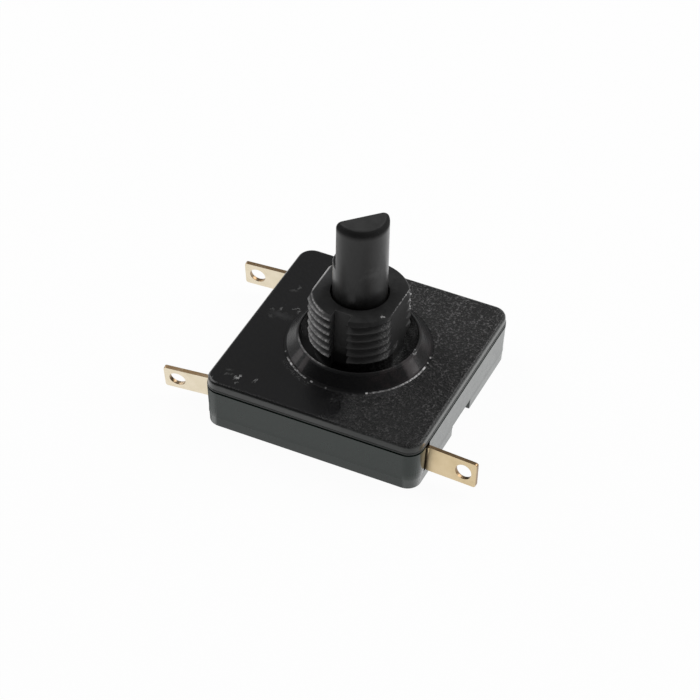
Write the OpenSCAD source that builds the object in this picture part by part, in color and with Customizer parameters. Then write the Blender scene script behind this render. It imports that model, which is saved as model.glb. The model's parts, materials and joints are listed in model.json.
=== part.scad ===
// Panel-mounted rotary switch: square moulded housing, threaded bush with two flats
// and a keyway, half-round shaft, three solder tags and four positions.
// Sizes are in millimetres. The origin is on the shaft axis, in the plane of the underside.

/* [Housing] */
// Width and depth of the square housing
body_w = 27; // [26:0.5:32]
// Height from the underside to the top of the cover plate
body_h = 6.6; // [6.5:0.1:9]
// Radius of the upright corners
body_corner_r = 1.9; // [1:0.1:3]
// How far each base wall leans in at the underside
base_draft = 0.25; // [0:0.05:0.4]
// Thickness of the base walls
wall_t = 1.4; // [1.2:0.1:1.7]
// Thickness of the base floor
floor_t = 1.3; // [1:0.1:1.4]
// Thickness of the cover plate
cover_t = 1.25; // [1:0.05:1.35]
// Rounding of the cover plate's upper edge
cover_edge_r = 0.45; // [0.2:0.05:0.6]
// Height of the shadow groove under the cover
seam_h = 0.2; // [0.1:0.05:0.3]
// Depth of the shadow groove
seam_depth = 0.15; // [0.05:0.05:0.3]
// Depth of the rib that locates the cover in the base
spigot_h = 0.6; // [0.4:0.1:0.7]
// Thickness of the locating rib
spigot_t = 0.7; // [0.5:0.1:0.9]
// Width of the notch in the lower edge of the right wall
notch_w = 5.1; // [3:0.1:7]
// Height of that notch
notch_h = 1.5; // [0.8:0.1:2]
// Distance of the notch's middle from the centre line, towards the rear
notch_y = -0.35; // [-2:0.05:2]
// How far the notch goes into the wall
notch_depth = 0.9; // [0.5:0.1:1]

/* [Collar and bush] */
// Outer diameter of the collar where it meets the cover plate
collar_d = 17.1; // [16:0.1:19]
// Diameter of the collar's upper rim
collar_rim_d = 14.1; // [13.9:0.1:15]
// Height of the collar
collar_h = 1.75; // [1:0.05:2.5]
// Width of the clear ring between bush and collar
moat_w = 0.9; // [0.5:0.05:0.9]
// Major diameter of the bush thread
bush_d = 12; // [11:0.1:12.1]
// Height of the bush above the cover plate
bush_h = 8.05; // [6:0.05:10]
// Distance across the two flats of the bush
bush_flats = 10; // [9:0.1:11]
// Chamfer at the bush's upper edge
bush_chamfer = 0.4; // [0.2:0.05:0.6]
// Distance from one thread crest to the next
thread_pitch = 1.1; // [0.9:0.05:1.5]
// Depth of the thread
thread_depth = 0.6; // [0.3:0.05:0.7]
// Height of the plain neck between cover plate and thread
neck_h = 1.95; // [1.8:0.05:2.4]
// How far the neck stays inside the thread's major diameter
neck_depth = 0.75; // [0.65:0.05:0.85]
// Width of the keyway in the front of the bush
keyway_w = 2.2; // [1.5:0.1:3]
// Depth of the keyway from the thread's major diameter
keyway_depth = 1.65; // [1:0.05:1.8]
// Radial widening of the bore at its mouth
mouth_gap = 0.15; // [0.1:0.05:0.6]
// Depth of the wide mouth
mouth_depth = 1; // [0.5:0.1:2]

/* [Shaft] */
// Diameter of the shaft
shaft_d = 6.35; // [6:0.05:6.4]
// Height of the shaft above the cover plate
shaft_len = 18.95; // [16:0.05:25]
// Length of the flat, from the end of the shaft
flat_len = 6.55; // [4:0.05:7]
// How far the flat lies past the shaft axis
flat_past_axis = 0; // [0:0.05:1]
// Direction that the flat faces at rest, from +X
flat_dir = 135; // [0:15:345]
// Rounding of the shaft's upper edge
shaft_round = 0.6; // [0.2:0.1:1]

/* [Terminals] */
// Thickness of a solder tag
tag_t = 0.5; // [0.4:0.05:0.6]
// How much lower the tag is at its free end
tag_taper = 0.1; // [0:0.05:0.6]
// Length of tag outside the housing
tag_reach = 6.1; // [5:0.1:9]
// Distance from a tag's middle plane to the nearest outer face of the housing
tag_inset = 3.2; // [2.9:0.05:3.3]
// Length of tag inside the housing wall
tag_inside = 4.5; // [4.3:0.1:5]
// Diameter of the solder hole
solder_hole_d = 2; // [1.2:0.1:2.4]
// Distance from the hole's centre to the tag's end
solder_hole_end = 1.6; // [1.4:0.1:2.5]
// Radius of the tag's outer corners
tag_corner_r = 0.3; // [0.1:0.05:0.5]
// Bend of each tag away from the centre line: rear left, front left, front right
tag_bends = [-3.7, 6, 2.3];
// Lean of each tag's upper edge towards the centre line, in the same order
tag_leans = [7.5, -11, 3];

/* [Contacts] */
// Thickness of a contact blade
blade_t = 0.25; // [0.15:0.05:0.3]
// Height of a contact blade
blade_h = 1.6; // [1.3:0.1:1.7]
// Distance along the tag's direction from the shaft axis to a contact point
contact_u = 2.2; // [1.8:0.1:2.6]
// Diameter of a contact tip
tip_d = 1.4; // [1:0.1:1.5]
// Height of a contact tip between blade and rotor
tip_h = 0.6; // [0.4:0.05:0.7]
// Diameter of the rivets that hold the blades to the tags
rivet_d = 1; // [0.8:0.1:1.1]

/* [Rotor] */
// Diameter of the drum under the contacts
drum_d = 17.6; // [16.6:0.1:18]
// Diameter of the detent star under the drum
star_d = 16.8; // [16:0.1:17.2]
// Height of the detent star
star_h = 1.2; // [1:0.1:1.2]
// Number of positions in a full turn
positions = 4; // [4:1:4]
// Depth of each detent notch
notch_in = 0.9; // [0.6:0.05:1]
// Thickness of the contact ring's sheet
ring_t = 0.4; // [0.3:0.05:0.45]
// Inner diameter of the contact ring
ring_bore_d = 11.2; // [10.4:0.1:11.4]
// Diameter of the pivot under the rotor
pivot_d = 3; // [2.5:0.1:3.4]
// Width of the fixed stop rib, as an angle
stop_rib_angle = 30; // [20:1:40]

/* [Detent spring] */
// Thickness of the spring strip
spring_t = 0.3; // [0.2:0.05:0.35]
// Height of the spring strip
spring_h = 1.2; // [1:0.1:1.2]
// Radius of the spring's rounded nose, outside
nose_r = 1.3; // [1:0.05:1.4]
// Length of the spring from end to end
spring_len = 15.2; // [14:0.1:15.6]

/* [Clearances] */
// Radial clearance of the shaft in its bush, and of the rotor on its pivot
running_gap = 0.05; // [0.02:0.01:0.08]
// Clearance above and below the rotor
end_float = 0.05; // [0.03:0.01:0.1]
// Clearance between fixed pieces that locate each other
fit_gap = 0.1; // [0.05:0.01:0.12]
// Distance from a contact tip or the detent nose to the rotor at rest
contact_gap = 0.05; // [0.03:0.01:0.1]

/* [Hidden] */
$fn = 64;
cut = 0.01; // overshoot of a cutting solid past the face it cuts

// Housing
half_w = body_w / 2;
base_h = body_h - cover_t;
cavity_half = half_w - wall_t;
cavity_r = max(body_corner_r - wall_t, 0.5);
moat_r = bush_d / 2 + moat_w;
crest_share = 1 / 8; // width of the thread's crest, and of each half of its root, in pitches
root_share = 1 / 8;

// Tags, in a frame with u running outwards along the tag and v away from the centre line
tag_v = half_w - tag_inset;
tag_in_u = cavity_half - tag_inside;
tag_z = floor_t; // a tag stands on edge on the base floor and reaches up to the cover's rib
tag_top = base_h - spigot_h - fit_gap;
tag_h = tag_top - tag_z;
slot_w_out = 0.5; // clear width on the outer side of a tag in its wall slot
rib_len = 0.8;
rib_drop = 0.2; // how far the tag rib stays below the tag's upper edge
lock_len = wall_t / 2;
lock_depth = 0.5;
hole_u = tag_reach - solder_hole_end;
hole_z = (tag_h - tag_taper / 2) / 2;

// Rotor levels
floor_to_star = 0.3;
ring_to_cover = 0.3; // clear height above the contact ring
hub_wall = 1.2; // thickness of the hub around the shaft
star_z = floor_t + floor_to_star;
drum_z = star_z + star_h;
drum_top = base_h - ring_to_cover - ring_t;
drum_lip = 0.2; // height of the drum's rim below the bent-down sectors
ring_z = drum_z + drum_lip;
ring_top = drum_top + ring_t;
shaft_r = shaft_d / 2;
hub_r = shaft_r + hub_wall;
pivot_h = 2;
pivot_gap_h = 0.2; // clear height above the pivot and above the stop rib
peg_r = 0.6;
peg_root = 0.5; // length of a peg inside the drum
peg_head = 0.1; // height of a peg above the ring
peg_circle_r = (ring_bore_d / 2 + drum_d / 2 - ring_t) / 2;

// Brass sectors under the contacts, as start angle and sweep
SECTORS = [[270, 180], [180, 30]];

// Contact blades, level with the middle of the ring's sectors
contact_z = (ring_z + drum_top) / 2;
tip_r = drum_d / 2 + contact_gap;
contact_a = asin(contact_u / tip_r);
blade_r = tip_r + tip_h + blade_t / 2;
blade_v = tag_v - tag_t / 2 - blade_t / 2;
blade_root = 3.4; // length of blade that lies flat on its tag
blade_end_in = 1.2; // straight length before and after the contact point
blade_end_out = 1;
rivet_u = tag_in_u + blade_root / 2;
rivet_head = 0.25; // height of a rivet's head, and its overhang
tip_shank_r = tip_d / 4;
tip_head_r = tip_shank_r * 1.7;
tip_head_h = 0.2;
tip_dome_h = 0.25;

// Detent spring, on the right of the rotor
star_notch_r = nose_r + 0.15;
star_notch_x = star_d / 2 - notch_in + star_notch_r;
nose_mid_r = nose_r - spring_t / 2;
nose_x = star_d / 2 - notch_in + contact_gap + nose_r;
spring_x = nose_x + nose_r + 0.1;
spring_z = floor_t + fit_gap;
spring_top = spring_z + spring_h;
nose_half_angle = 70;
nose_steps = 12;
nose_to_arm = 1.1;
arm_from = nose_r + nose_to_arm;
seat_len = 0.9; // length of spring end inside its seat
seat_t = 0.8;
seat_end_t = 0.6;
seat_to_lip = 1.2;

// Rotation stop: the lug leaves the rotor 270 degrees of travel between both sides of the rib
stop_gap = 1; // degrees left at each end
step = 360 / positions;
stop_lug_angle = step - stop_rib_angle - 2 * stop_gap;
stop_to_pivot = 1.9;
stop_in_r = pivot_d / 2 + stop_to_pivot;
stop_w = 1.6;
stop_out_r = stop_in_r + stop_w;
stop_h = 1;
stop_rib_dir = 100;
stop_lug_dir = stop_rib_dir - stop_rib_angle / 2 - stop_gap - stop_lug_angle / 2;

// Unit vector at an angle, and the mitred outline of a strip of thickness t along a path
function unit(a) = [cos(a), sin(a)];
function direction(p, q) = (q - p) / norm(q - p);
function left_of(d) = [-d[1], d[0]];
function mitre(path, i) =
    let (
        last = len(path) - 1,
        before = direction(path[max(i - 1, 0)], path[max(i, 1)]),
        after = direction(path[min(i, last - 1)], path[min(i + 1, last)]),
        middle = (left_of(before) + left_of(after)) / 2
    )
    middle / (middle * middle);
function strip_outline(path, t) = concat(
    [for (i = [0 : len(path) - 1]) path[i] + mitre(path, i) * t / 2],
    [for (i = [len(path) - 1 : -1 : 0]) path[i] - mitre(path, i) * t / 2]
);

module rounded_square(w, r) {
    square([w, w - 2 * r], center = true);
    square([w - 2 * r, w], center = true);
    for (x = [-1, 1], y = [-1, 1])
        translate([x * (w / 2 - r), y * (w / 2 - r)])
            circle(r);
}

module rounded_block(w, r, z0, z1) {
    translate([0, 0, z0])
        linear_extrude(z1 - z0)
            rounded_square(w, r);
}

// Block whose sides lean in by draft at the underside
module drafted_block(w, r, h, draft) {
    hull()
        for (x = [-1, 1], y = [-1, 1])
            translate([x * (w / 2 - r), y * (w / 2 - r), 0])
                cylinder(h = h, r1 = r - draft, r2 = r, $fn = 32);
}

// Right half of a plate's section, with its upper edge rounded
function plate_section(half, z0, z1, edge_r) = concat(
    [[0, z0], [half, z0]],
    [for (a = [0 : 22.5 : 90]) [half - edge_r, z1 - edge_r] + edge_r * unit(a)],
    [[0, z1]]
);

// Square plate with upright corners of radius r and a rounded upper edge
module edged_plate(w, r, z0, z1, edge_r) {
    side = plate_section(w / 2, z0, z1, edge_r);
    section = concat(side, [for (i = [len(side) - 2 : -1 : 1]) [-side[i][0], side[i][1]]]);
    for (a = [0, 90])
        rotate([0, 0, a])
            translate([0, w / 2 - r, 0])
                rotate([90, 0, 0])
                    linear_extrude(w - 2 * r)
                        polygon(section);
    for (x = [-1, 1], y = [-1, 1])
        translate([x * (w / 2 - r), y * (w / 2 - r), 0])
            rotate_extrude()
                polygon(plate_section(r, z0, z1, edge_r));
}

module ring_sector(r_in, r_out, z0, z1, start, sweep) {
    translate([0, 0, z0])
        rotate([0, 0, start])
            rotate_extrude(angle = sweep)
                translate([r_in, 0])
                    square([r_out - r_in, z1 - z0]);
}

// Puts what is modelled at positive u and v on one of the housing's corners
module at_corner(side_x, side_y) {
    mirror([side_x < 0 ? 1 : 0, 0, 0])
        mirror([0, side_y < 0 ? 1 : 0, 0])
            children();
}

module at_each_terminal() {
    at_corner(-1, 1) children();
    at_corner(-1, -1) children();
    at_corner(1, -1) children();
}

// Base

module base_shell() {
    difference() {
        union() {
            drafted_block(body_w, body_corner_r, base_h - seam_h, base_draft);
            rounded_block(body_w - 2 * seam_depth, body_corner_r - seam_depth, floor_t, base_h);
        }
        rounded_block(cavity_half * 2, cavity_r, floor_t, base_h + cut);
        at_each_terminal() tag_slot();
        translate([half_w - notch_depth, notch_y - notch_w / 2, -cut])
            cube([notch_depth + cut, notch_w, notch_h + cut]);
    }
}

// Slot through the side wall for a tag, open at the top
module tag_slot() {
    translate([cavity_half - cut, tag_v - tag_t / 2 - fit_gap, tag_z])
        cube([wall_t + 2 * cut, tag_t + fit_gap + slot_w_out, base_h]);
}

// Rib behind the inner end of a tag that takes the push of its blade
module tag_rib() {
    rib_v = tag_v + tag_t / 2 + fit_gap;
    translate([tag_in_u, rib_v, floor_t - cut])
        cube([rib_len, cavity_half - rib_v + cut, tag_h - rib_drop]);
}

// Inner post, outer rib and end stop that hold one end of the detent spring
module spring_seat() {
    seat_y = spring_len / 2 - seat_len;
    seat_h = spring_top - floor_t;
    inner_x = spring_x - spring_t / 2 - fit_gap;
    outer_x = spring_x + spring_t / 2 + fit_gap;
    translate([inner_x - seat_t, seat_y, floor_t - cut])
        cube([seat_t, seat_len + fit_gap, seat_h]);
    translate([outer_x, seat_y - seat_end_t, floor_t - cut])
        cube([cavity_half - outer_x + cut, seat_t, seat_h]);
    translate([inner_x - seat_t, spring_len / 2 + fit_gap, floor_t - cut])
        cube([outer_x - inner_x + seat_to_lip, seat_end_t, seat_h]);
}

module base() {
    color("#3a3d3c") {
        base_shell();
        translate([0, 0, floor_t - cut])
            cylinder(h = pivot_h, r = pivot_d / 2);
        ring_sector(stop_in_r + fit_gap, stop_out_r - fit_gap, floor_t - cut, floor_t + stop_h,
            stop_rib_dir - stop_rib_angle / 2, stop_rib_angle);
        at_each_terminal() tag_rib();
        for (side = [1, -1])
            at_corner(1, side) spring_seat();
    }
}

// Cover, with its collar and threaded bush

// Section of one turn of the thread, which starts and ends at the root
function thread_turn(r, z) = [
    [r - thread_depth, z + root_share * thread_pitch],
    [r, z + (1 - crest_share) * thread_pitch / 2],
    [r, z + (1 + crest_share) * thread_pitch / 2],
    [r - thread_depth, z + (1 - root_share) * thread_pitch]
];

// The thread's turns are closed rings
module bush_blank() {
    r = bush_d / 2;
    top = body_h + bush_h;
    neck_top = body_h + neck_h;
    turns = floor((bush_h - neck_h - bush_chamfer) / thread_pitch);
    rotate_extrude()
        polygon(concat(
            [
                [0, body_h - cut],
                [r - neck_depth, body_h - cut],
                [r - neck_depth, neck_top]
            ],
            [for (i = [0 : turns - 1]) each thread_turn(r, neck_top + i * thread_pitch)],
            [
                [r, top - bush_chamfer],
                [r - bush_chamfer, top],
                [0, top]
            ]
        ));
}

module bush() {
    difference() {
        intersection() {
            bush_blank();
            translate([-bush_flats / 2, -bush_d, 0])
                cube([bush_flats, 2 * bush_d, body_h + bush_h + 1]);
        }
        translate([-keyway_w / 2, -bush_d, body_h])
            cube([keyway_w, bush_d / 2 + keyway_depth, bush_h + cut]);
    }
}

// Lug that fills a wall slot above its tag, with a key that drops into the tag's notch
module tag_lug() {
    lug_v = tag_v - tag_t / 2;
    lug_w = tag_t + slot_w_out - fit_gap;
    translate([cavity_half + fit_gap, lug_v, tag_top + fit_gap])
        cube([wall_t - 2 * fit_gap - seam_depth, lug_w, base_h - tag_top - fit_gap + cut]);
    translate([cavity_half + wall_t / 2 - lock_len / 2 + fit_gap, lug_v, tag_top - lock_depth + fit_gap])
        cube([lock_len - 2 * fit_gap, lug_w, lock_depth + cut]);
}

module spigot() {
    outer = 2 * (cavity_half - fit_gap);
    difference() {
        rounded_block(outer, cavity_r - fit_gap, base_h - spigot_h, base_h + cut);
        rounded_block(outer - 2 * spigot_t, 0.3, base_h - spigot_h - cut, base_h);
    }
}

module cover() {
    color("#2a2c2c")
        difference() {
            union() {
                difference() {
                    union() {
                        edged_plate(body_w, body_corner_r, base_h, body_h, cover_edge_r);
                        translate([0, 0, body_h - cut])
                            cylinder(h = collar_h + cut, d1 = collar_d, d2 = collar_rim_d);
                    }
                    translate([0, 0, body_h])
                        cylinder(h = collar_h + cut, r = moat_r);
                }
                bush();
                spigot();
                at_each_terminal() tag_lug();
            }
            translate([0, 0, base_h - cut])
                cylinder(h = body_h + bush_h, r = shaft_r + running_gap);
            translate([0, 0, body_h + bush_h - mouth_depth])
                cylinder(h = mouth_depth + cut, r = shaft_r + running_gap + mouth_gap);
        }
}

// Rotor: shaft, drum and detent star in one moulding

module rotor_blank() {
    top = body_h + shaft_len;
    arc = [for (a = [0 : 22.5 : 90]) [shaft_r - shaft_round, top - shaft_round] + shaft_round * unit(a)];
    rotate_extrude()
        polygon(concat(
            [
                [0, floor_t + end_float],
                [stop_in_r - fit_gap, floor_t + end_float],
                [stop_in_r - fit_gap, star_z],
                [star_d / 2, star_z],
                [star_d / 2, drum_z],
                [drum_d / 2, drum_z],
                [drum_d / 2, drum_top],
                [hub_r, drum_top],
                [hub_r, base_h - end_float],
                [shaft_r, base_h - end_float]
            ],
            arc,
            [[0, top]]
        ));
}

// What the contact ring's bent-down sectors fill in the rim of the drum
module sector_recess(sector) {
    ring_sector(drum_d / 2 - ring_t - running_gap, drum_d / 2 + 1, ring_z, drum_top + cut,
        sector[0], sector[1]);
}

module ring_pegs(r, z1) {
    for (a = [0 : 120 : 240])
        rotate([0, 0, a])
            translate([peg_circle_r, 0, drum_top - peg_root])
                cylinder(h = z1 - drum_top + peg_root, r = r);
}

module rotor() {
    flat_z = body_h + shaft_len - flat_len;
    color("#454746") {
        difference() {
            rotor_blank();
            rotate([0, 0, flat_dir])
                translate([-flat_past_axis, -shaft_d, flat_z])
                    cube([shaft_d, 2 * shaft_d, flat_len + 1]);
            for (i = [0 : positions - 1])
                rotate([0, 0, i * step])
                    translate([star_notch_x, 0, star_z - cut])
                        cylinder(h = drum_z - star_z + cut, r = star_notch_r);
            for (sector = SECTORS)
                sector_recess(sector);
            ring_sector(stop_in_r - fit_gap, stop_out_r + fit_gap, 0, floor_t + stop_h + pivot_gap_h,
                stop_lug_dir + stop_lug_angle / 2, 360 - stop_lug_angle);
            cylinder(h = floor_t + pivot_h + pivot_gap_h, r = pivot_d / 2 + running_gap);
        }
        ring_pegs(peg_r, ring_top + peg_head);
    }
}

// Contact ring: flat washer with sectors bent down over the rim of the drum
module contact_ring() {
    color("#c8a45c")
        difference() {
            union() {
                ring_sector(ring_bore_d / 2, drum_d / 2, drum_top, ring_top, 0, 360);
                for (sector = SECTORS)
                    ring_sector(drum_d / 2 - ring_t, drum_d / 2, ring_z, drum_top + cut, sector[0], sector[1]);
            }
            ring_pegs(peg_r + running_gap, ring_top + cut);
        }
}

// Terminals: solder tag, contact blade, contact tip and rivet

// Side view of the part of a tag outside the housing, with u from the wall
module tag_profile() {
    r = tag_corner_r;
    end_h = tag_h - tag_taper;
    difference() {
        polygon(concat(
            [[0, 0]],
            [for (a = [-90 : 22.5 : 0]) [tag_reach - r, r] + r * unit(a)],
            [for (a = [0 : 22.5 : 90]) [tag_reach - r, end_h - r] + r * unit(a)],
            [[0, tag_h]]
        ));
        translate([hole_u, hole_z])
            circle(d = solder_hole_d);
    }
}

module terminal(bend, lean) {
    color("#d9c08c")
        difference() {
            union() {
                translate([tag_in_u, tag_v - tag_t / 2, tag_z])
                    cube([half_w - tag_in_u, tag_t, tag_h]);
                translate([half_w, tag_v, tag_z])
                    cylinder(h = tag_h, d = tag_t);
                translate([half_w, tag_v, tag_z + tag_h / 2])
                    rotate([lean, 0, bend])
                        translate([0, tag_t / 2, -tag_h / 2])
                            rotate([90, 0, 0])
                                linear_extrude(tag_t)
                                    tag_profile();
            }
            translate([cavity_half + wall_t / 2 - lock_len / 2, tag_v - tag_t, tag_top - lock_depth])
                cube([lock_len, 2 * tag_t, lock_depth + cut]);
            rivet_shank(rivet_d / 2 + running_gap);
        }
}

module rivet_shank(r) {
    translate([rivet_u, tag_v - tag_t, contact_z])
        rotate([-90, 0, 0])
            cylinder(h = 2 * tag_t, r = r);
}

// Lies on the tag, bends towards the rotor and ends square to the radius through its tip
module blade() {
    tip_dir = [sin(contact_a), cos(contact_a)];
    along = [-cos(contact_a), sin(contact_a)];
    path = [
        [tag_in_u + blade_root, blade_v],
        [tag_in_u, blade_v],
        blade_r * tip_dir - blade_end_in * along,
        blade_r * tip_dir + blade_end_out * along
    ];
    color("#b9803f")
        difference() {
            translate([0, 0, contact_z - blade_h / 2])
                linear_extrude(blade_h)
                    polygon(strip_outline(path, blade_t));
            rivet_shank(rivet_d / 2 + running_gap);
            on_contact_axis()
                cylinder(h = 2 * (tip_h + blade_t + cut), r = tip_shank_r + running_gap, center = true);
        }
}

// Turns +Z to the outward radius through the contact point, from the rotor's surface
module on_contact_axis() {
    rotate([0, 0, -contact_a])
        translate([0, tip_r, contact_z])
            rotate([-90, 0, 0])
                children();
}

// Domed contact, riveted through the end of its blade
module tip() {
    blade_out = tip_h + blade_t;
    color("#d6d6d2")
        on_contact_axis()
            rotate_extrude()
                polygon(concat(
                    [[0, 0]],
                    [for (a = [15 : 15 : 90]) [tip_d / 2 * sin(a), tip_dome_h * (1 - cos(a))]],
                    [
                        [tip_d / 2, tip_h],
                        [tip_shank_r, tip_h],
                        [tip_shank_r, blade_out],
                        [tip_head_r, blade_out],
                        [tip_head_r, blade_out + tip_head_h],
                        [0, blade_out + tip_head_h]
                    ]
                ));
}

module blade_rivet() {
    head_r = rivet_d / 2 + rivet_head;
    inner_v = blade_v - blade_t / 2;
    outer_v = tag_v + tag_t / 2;
    translate([rivet_u, 0, contact_z])
        rotate([-90, 0, 0]) {
            translate([0, 0, inner_v - rivet_head])
                cylinder(h = rivet_head, r = head_r);
            translate([0, 0, inner_v - cut])
                cylinder(h = outer_v - inner_v + 2 * cut, d = rivet_d);
            translate([0, 0, outer_v])
                cylinder(h = rivet_head, r = head_r);
        }
}

module terminal_common() { at_corner(-1, 1) terminal(tag_bends[0], tag_leans[0]); }
module terminal_first() { at_corner(-1, -1) terminal(tag_bends[1], tag_leans[1]); }
module terminal_second() { at_corner(1, -1) terminal(tag_bends[2], tag_leans[2]); }
module blade_common() { at_corner(-1, 1) blade(); }
module blade_first() { at_corner(-1, -1) blade(); }
module blade_second() { at_corner(1, -1) blade(); }
module tip_common() { at_corner(-1, 1) tip(); }
module tip_first() { at_corner(-1, -1) tip(); }
module tip_second() { at_corner(1, -1) tip(); }
module blade_rivets() { color("#b87844") at_each_terminal() blade_rivet(); }

// Flat spring on edge, with a rounded nose in a notch of the star
module detent_spring() {
    path = concat(
        [[spring_x, -spring_len / 2], [spring_x, -arm_from]],
        [
            for (i = [0 : nose_steps])
                [nose_x, 0] + nose_mid_r * unit(180 + nose_half_angle * (1 - 2 * i / nose_steps))
        ],
        [[spring_x, arm_from], [spring_x, spring_len / 2]]
    );
    color("#b4b8ba")
        translate([0, 0, spring_z])
            linear_extrude(spring_h)
                polygon(strip_outline(path, spring_t));
}

base();
cover();
rotor();
contact_ring();
detent_spring();
terminal_common();
terminal_first();
terminal_second();
blade_common();
blade_first();
blade_second();
tip_common();
tip_first();
tip_second();
blade_rivets();
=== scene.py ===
import json
import math

import bmesh
import bpy
from mathutils import Matrix, Vector


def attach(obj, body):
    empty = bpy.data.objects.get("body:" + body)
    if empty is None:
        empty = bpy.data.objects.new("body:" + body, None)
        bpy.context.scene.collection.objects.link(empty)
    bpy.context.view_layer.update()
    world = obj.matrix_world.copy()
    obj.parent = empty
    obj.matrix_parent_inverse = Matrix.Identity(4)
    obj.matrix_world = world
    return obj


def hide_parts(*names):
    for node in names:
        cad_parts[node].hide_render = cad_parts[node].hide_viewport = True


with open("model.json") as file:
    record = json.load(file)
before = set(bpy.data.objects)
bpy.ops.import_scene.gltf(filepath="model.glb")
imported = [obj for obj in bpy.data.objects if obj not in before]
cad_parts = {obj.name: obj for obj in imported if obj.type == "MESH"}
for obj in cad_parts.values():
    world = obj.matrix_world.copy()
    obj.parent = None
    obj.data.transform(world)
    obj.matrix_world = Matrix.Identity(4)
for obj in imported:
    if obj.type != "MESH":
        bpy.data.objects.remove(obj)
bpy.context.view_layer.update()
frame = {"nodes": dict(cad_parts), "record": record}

NODES = frame["nodes"]
MM = 0.001
FRONT = -math.pi / 2  # direction of the keyway, towards the viewer
FULL_TURN = 2 * math.pi

# Sizes in millimetres, the same as in part.scad. The origin is on the shaft's axis, at the underside.
HALF = 13.5  # half the width of the square housing
CORNER_R = 1.9
BODY_H = 6.6  # top of the cover plate
BASE_H = 5.35  # joint between base and cover
COLLAR_R = 8.55
COLLAR_RIM_R = 7.05
COLLAR_H = 1.75
MOAT_R = 6.9
BUSH_R = 6.0
BUSH_TOP = BODY_H + 8.05
FLAT_X = 5.0
KEY_X = 1.1
KEY_Y = 4.35
CHAMFER = 0.4
BORE_R = 3.225
MOUTH_R = 3.375
MOUTH_H = 1.0
PITCH = 1.1
THREAD_DEPTH = 0.6
NECK_R = 5.25
SHAFT_R = 3.175
SHAFT_TOP = BODY_H + 18.95
FLAT_LEN = 6.55
FLAT_DIR = math.radians(135)

# The scene's own sizes in millimetres: worn edges, and where drawn solids meet
EDGE_R = 0.42
EDGE_IN = 0.09  # how far the plate's upper part stands behind its lower lip
SUNK = 0.4  # how far the bush's solid reaches into the plate
COLLAR_SUNK = 0.3
FLAT_EDGE_R = 0.3
FLAT_CORNER_R = 0.4
SHOULDER_R = 0.12  # rounding of the step at the flat's lower end
SHAFT_ROUND = 0.7
SHAFT_CUT_Z = 9.0  # above this height the drawn shaft takes the solid's place

# The thread is a right-handed helix here, and closed rings in part.scad
THREAD_START = math.radians(-60)  # where the lowest whole crest is FIRST_CREST high
FIRST_CREST = 8.89
CREST_END, ROOT_START = 0.14, 0.84  # shares of half a pitch
NECK_TOP = 8.5

# Points and steps along outlines
N_ARC, N_CORNER, N_FLAT = 96, 8, 24  # the shaft's round side, each of its corners, and its flat
KEY_SIDE_STEPS, KEY_FLOOR_STEPS = 4, 8
ROUND_STEPS = 8

# Mesh cleaning: points closer than this, in millimetres, become one
MERGE_MM = 0.0005
DEGENERATE_M = 1e-8

# Camera, fitted to the photo: degrees, pixels of a 700-pixel frame, and millimetres
CAMERA_YAW, CAMERA_PITCH, CAMERA_ROLL = 24.43, 41.394, 1.184
FOCAL_PX, FRAME_PX, SENSOR_MM = 2806.436, 700, 36.0
SHIFT_RIGHT, SHIFT_UP, CAMERA_DISTANCE = 1.014, 0.698, 324.376


# ---------------------------------------------------------------- mesh helpers

def link_object(name, data):
    ob = bpy.data.objects.new(name, data)
    bpy.context.scene.collection.objects.link(ob)
    return ob


def make_mesh(name, verts_mm, faces):
    me = bpy.data.meshes.new(name)
    me.from_pydata([tuple(c * MM for c in v) for v in verts_mm], [], faces)
    me.validate()
    me.update()
    return link_object(name, me)


def band(a, b, n):
    """Faces between two rings of n points that start at the indices a and b."""
    return [(a + i, a + (i + 1) % n, b + (i + 1) % n, b + i) for i in range(n)]


def ring_solid(name, rings):
    """Closed solid through rings of equally many points; the last ring joins the first."""
    n = len(rings[0])
    faces = []
    for k in range(len(rings)):
        faces += band(k * n, ((k + 1) % len(rings)) * n, n)
    return make_mesh(name, [p for ring in rings for p in ring], faces)


def capped_solid(name, rings):
    """Closed solid through rings of equally many points, with flat ends."""
    n = len(rings[0])
    last = (len(rings) - 1) * n
    faces = []
    for k in range(len(rings) - 1):
        faces += band(k * n, (k + 1) * n, n)
    faces.append(tuple(range(n - 1, -1, -1)))
    faces.append(tuple(range(last, last + n)))
    return make_mesh(name, [p for ring in rings for p in ring], faces)


def clean(ob, dissolve=None):
    """Merge double points and turn all faces outwards; dissolve is an angle in degrees."""
    bm = bmesh.new()
    bm.from_mesh(ob.data)
    bmesh.ops.remove_doubles(bm, verts=bm.verts, dist=MERGE_MM * MM)
    bmesh.ops.dissolve_degenerate(bm, edges=bm.edges, dist=DEGENERATE_M)
    if dissolve:
        limit = math.radians(dissolve)
        bmesh.ops.dissolve_limit(bm, angle_limit=limit, verts=bm.verts, edges=bm.edges)
    bmesh.ops.recalc_face_normals(bm, faces=bm.faces)
    bm.to_mesh(ob.data)
    bm.free()


def apply_modifiers(ob):
    dg = bpy.context.evaluated_depsgraph_get()
    me = bpy.data.meshes.new_from_object(ob.evaluated_get(dg))
    ob.modifiers.clear()
    old = ob.data
    ob.data = me
    bpy.data.meshes.remove(old)


def boolean(ob, other, operation):
    m = ob.modifiers.new("bool", "BOOLEAN")
    m.operation = operation
    m.solver = "MANIFOLD"
    m.object = other
    apply_modifiers(ob)
    bpy.data.objects.remove(other)


def bevel(ob, width_mm):
    sharp_from = 35
    m = ob.modifiers.new("bevel", "BEVEL")
    m.width = width_mm * MM
    m.segments = 2
    m.limit_method = "ANGLE"
    m.angle_limit = math.radians(sharp_from)
    m.use_clamp_overlap = True
    m.harden_normals = False
    apply_modifiers(ob)


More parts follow.
